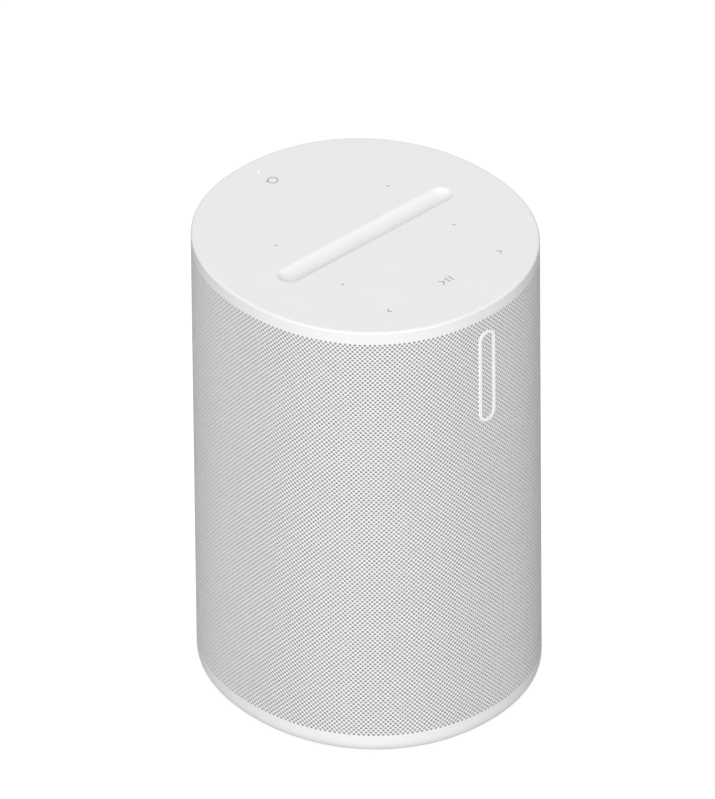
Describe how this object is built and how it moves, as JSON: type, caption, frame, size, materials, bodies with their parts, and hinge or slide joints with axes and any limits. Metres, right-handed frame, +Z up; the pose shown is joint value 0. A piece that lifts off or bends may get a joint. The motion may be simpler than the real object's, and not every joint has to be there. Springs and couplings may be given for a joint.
{
  "type": "smart speaker",
  "caption": "Upright oval smart speaker: perforated white metal sleeve, flat touch top with a volume trough, drivers and boards inside, rear panel with inlet, port, button and switch.",
  "frame": {"origin": "centre of the face it stands on, under the middle of the plan", "axes": "+Z up, the front faces -Y, +X is to the right of a person who looks at the front"},
  "size_m": [0.12, 0.1269, 0.185],
  "materials": {
    "cover_white": "fine matt moulded",
    "sleeve_white": "satin white coating on perforated sheet",
    "badge_white": "smooth printed",
    "grille_cloth": "fine woven acoustic cloth",
    "inner_black": "moulded, lightly textured",
    "rubber_black": "soft moulded",
    "foot_rubber": "soft matt silicone",
    "clear_plastic": "clear diffuser",
    "copper_film": "enamelled copper",
    "board_green": "solder-masked circuit board",
    "chip_black": "moulded chip packages",
    "screw_steel": "zinc plated",
    "plate_steel": "plated sheet steel",
    "basket_metal": "black coated steel",
    "magnet_black": "sintered ferrite",
    "cone_paper": "coated pressed paper",
    "spider_cloth": "resin-stiffened woven cloth",
    "dome_cloth": "doped silk",
    "foam_grey": "open-cell foam",
    "sink_aluminium": "extruded",
    "inlet_black": "moulded socket",
    "contact_nickel": "nickel plated",
    "lead_red": "insulated wire",
    "ribbon_amber": "polyimide film",
    "insert_brass": "turned, knurled"
  },
  "bodies": {
    "housing": {"top_cover": "cover_white", "touch_foil": "copper_film", "status_light_pipe": "clear_plastic", "mic_gaskets": "rubber_black", "touch_board": "board_green", "touch_board_parts": "chip_black", "touch_board_screws": "screw_steel", "top_frame": "inner_black", "top_frame_screws": "screw_steel", "wifi_antennas": "board_green", "grille_sleeve": "sleeve_white", "grille_cloth": "grille_cloth", "front_badge": "badge_white", "cabinet_front": "inner_black", "cabinet_rear": "inner_black", "cabinet_seal": "rubber_black", "cabinet_screws": "screw_steel", "damping_foam": "foam_grey", "woofer_basket": "basket_metal", "woofer_gasket": "rubber_black", "woofer_surround": "rubber_black", "woofer_spider": "spider_cloth", "woofer_top_plate": "plate_steel", "woofer_magnet": "magnet_black", "woofer_pole_plate": "plate_steel", "woofer_screws": "screw_steel", "tweeter_horn_left": "inner_black", "tweeter_horn_right": "inner_black", "tweeter_dome_left": "dome_cloth", "tweeter_dome_right": "dome_cloth", "tweeter_motor_left": "magnet_black", "tweeter_motor_right": "magnet_black", "tweeter_screws": "screw_steel", "main_board": "board_green", "main_board_parts": "chip_black", "shield_cans": "plate_steel", "heat_sink": "sink_aluminium", "main_board_screws": "screw_steel", "power_supply_board": "board_green", "power_supply_parts": "chip_black", "power_supply_screws": "screw_steel", "rear_panel": "cover_white", "power_inlet": "inlet_black", "power_inlet_pins": "contact_nickel", "io_board": "board_green", "usb_c_port": "contact_nickel", "button_key_switch": "chip_black", "mic_switch_housing": "plate_steel", "driver_leads": "lead_red", "touch_ribbon": "ribbon_amber", "base_cover": "cover_white", "stand_inserts": "insert_brass", "base_screws": "screw_steel", "foot_ring": "foot_rubber"},
    "button": {"pairing_button": "cover_white"},
    "switch_slider": {"mic_switch_slider": "cover_white"},
    "cone": {"woofer_cone": "cone_paper", "woofer_dust_cap": "cone_paper", "woofer_voice_coil": "copper_film"}
  },
  "joints": [
    {"name": "button_press", "type": "slide", "parent": "housing", "child": "button", "axis": [0, -1, 0], "range_m": [0, 0.0006], "stiffness_N_per_m": 2500},
    {"name": "mic_switch_slide", "type": "slide", "parent": "housing", "child": "switch_slider", "axis": [1, 0, 0], "range_m": [0, 0.0025]},
    {"name": "cone_travel", "type": "slide", "parent": "housing", "child": "cone", "axis": [0, -1, 0], "range_m": [-0.003, 0.003], "stiffness_N_per_m": 1500, "deforming": ["woofer_surround", "woofer_spider"]}
  ]
}
